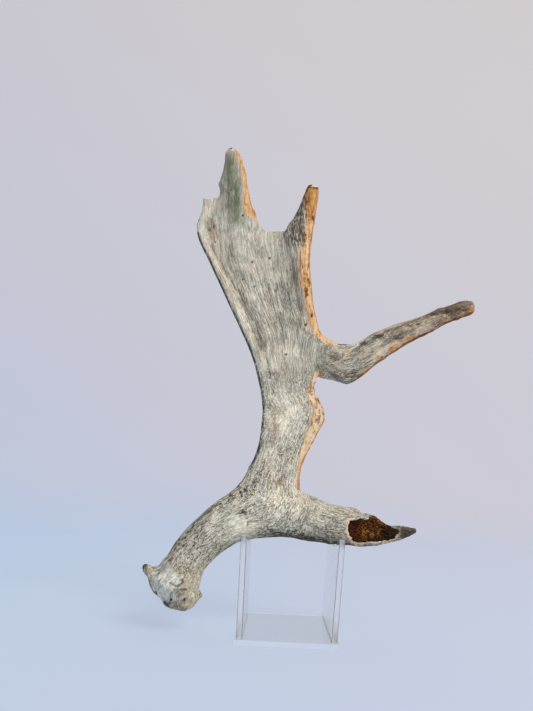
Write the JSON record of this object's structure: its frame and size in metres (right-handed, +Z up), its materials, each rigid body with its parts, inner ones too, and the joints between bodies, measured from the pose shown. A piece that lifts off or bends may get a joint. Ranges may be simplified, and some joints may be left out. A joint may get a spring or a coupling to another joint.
{
  "type": "moose antler on a display stand",
  "caption": "Weathered moose antler with a broad palm, long side tine and split brow tine, held upright in a clear acrylic cradle stand.",
  "frame": {"origin": "centre of the stand's underside", "axes": "+Z up, +X to the right as seen from the palm's front, +Y away from the viewer, through the palm"},
  "size_m": [0.3807, 0.156, 0.5973],
  "materials": {
    "antler": "weathered matte bone, grey-white with tan edges",
    "acrylic": "clear polished acrylic sheet"
  },
  "bodies": {
    "root": {"beam": "antler", "brow_tine": "antler", "palm": "antler", "side_tine": "antler", "left_tine": "antler", "right_tine": "antler", "stand_base": "acrylic", "stand_left_wall": "acrylic", "stand_right_wall": "acrylic"}
  },
  "joints": []
}
